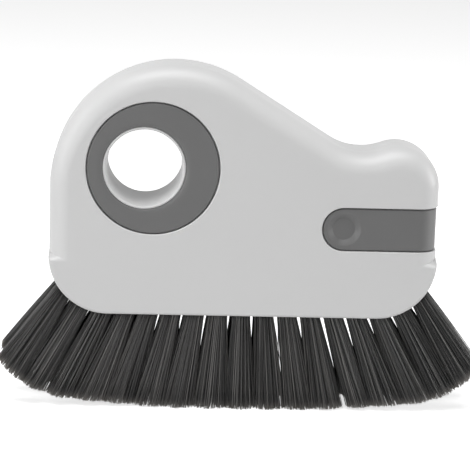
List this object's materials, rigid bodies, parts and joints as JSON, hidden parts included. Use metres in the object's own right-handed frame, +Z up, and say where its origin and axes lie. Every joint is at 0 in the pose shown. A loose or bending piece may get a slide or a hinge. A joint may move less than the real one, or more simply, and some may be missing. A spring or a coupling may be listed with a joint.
{
  "type": "groove cleaning brush",
  "caption": "Palm-sized hand brush with an arched grip, a finger hole in a soft ring, a soft end strap and two rows of tufts that fan out past the corners.",
  "frame": {"origin": "centre of the bounding box's base, on the trimmed bristle tips", "axes": "+X along the brush towards its narrow end with the strap, +Y from the front face to the rear face, +Z up"},
  "size_m": [0.1589, 0.0258, 0.1139],
  "materials": {
    "white_plastic": "satin moulded ABS, pale warm grey-white",
    "grey_rubber": "soft-touch matt, mid grey",
    "bristle_nylon": "drawn nylon filament, near black"
  },
  "bodies": {
    "root": {"front_shell": "white_plastic", "rear_shell": "white_plastic", "bristle_block": "white_plastic", "front_ring": "grey_rubber", "rear_ring": "grey_rubber", "grip_strap": "grey_rubber", "tuft_front_01": "bristle_nylon", "tuft_front_02": "bristle_nylon", "tuft_front_03": "bristle_nylon", "tuft_front_04": "bristle_nylon", "tuft_front_05": "bristle_nylon", "tuft_front_06": "bristle_nylon", "tuft_front_07": "bristle_nylon", "tuft_front_08": "bristle_nylon", "tuft_front_09": "bristle_nylon", "tuft_front_10": "bristle_nylon", "tuft_front_11": "bristle_nylon", "tuft_front_12": "bristle_nylon", "tuft_front_13": "bristle_nylon", "tuft_front_14": "bristle_nylon", "tuft_front_15": "bristle_nylon", "tuft_front_16": "bristle_nylon", "tuft_front_17": "bristle_nylon", "tuft_rear_01": "bristle_nylon", "tuft_rear_02": "bristle_nylon", "tuft_rear_03": "bristle_nylon", "tuft_rear_04": "bristle_nylon", "tuft_rear_05": "bristle_nylon", "tuft_rear_06": "bristle_nylon", "tuft_rear_07": "bristle_nylon", "tuft_rear_08": "bristle_nylon", "tuft_rear_09": "bristle_nylon", "tuft_rear_10": "bristle_nylon", "tuft_rear_11": "bristle_nylon", "tuft_rear_12": "bristle_nylon", "tuft_rear_13": "bristle_nylon", "tuft_rear_14": "bristle_nylon", "tuft_rear_15": "bristle_nylon", "tuft_rear_16": "bristle_nylon", "tuft_rear_17": "bristle_nylon"}
  },
  "joints": []
}
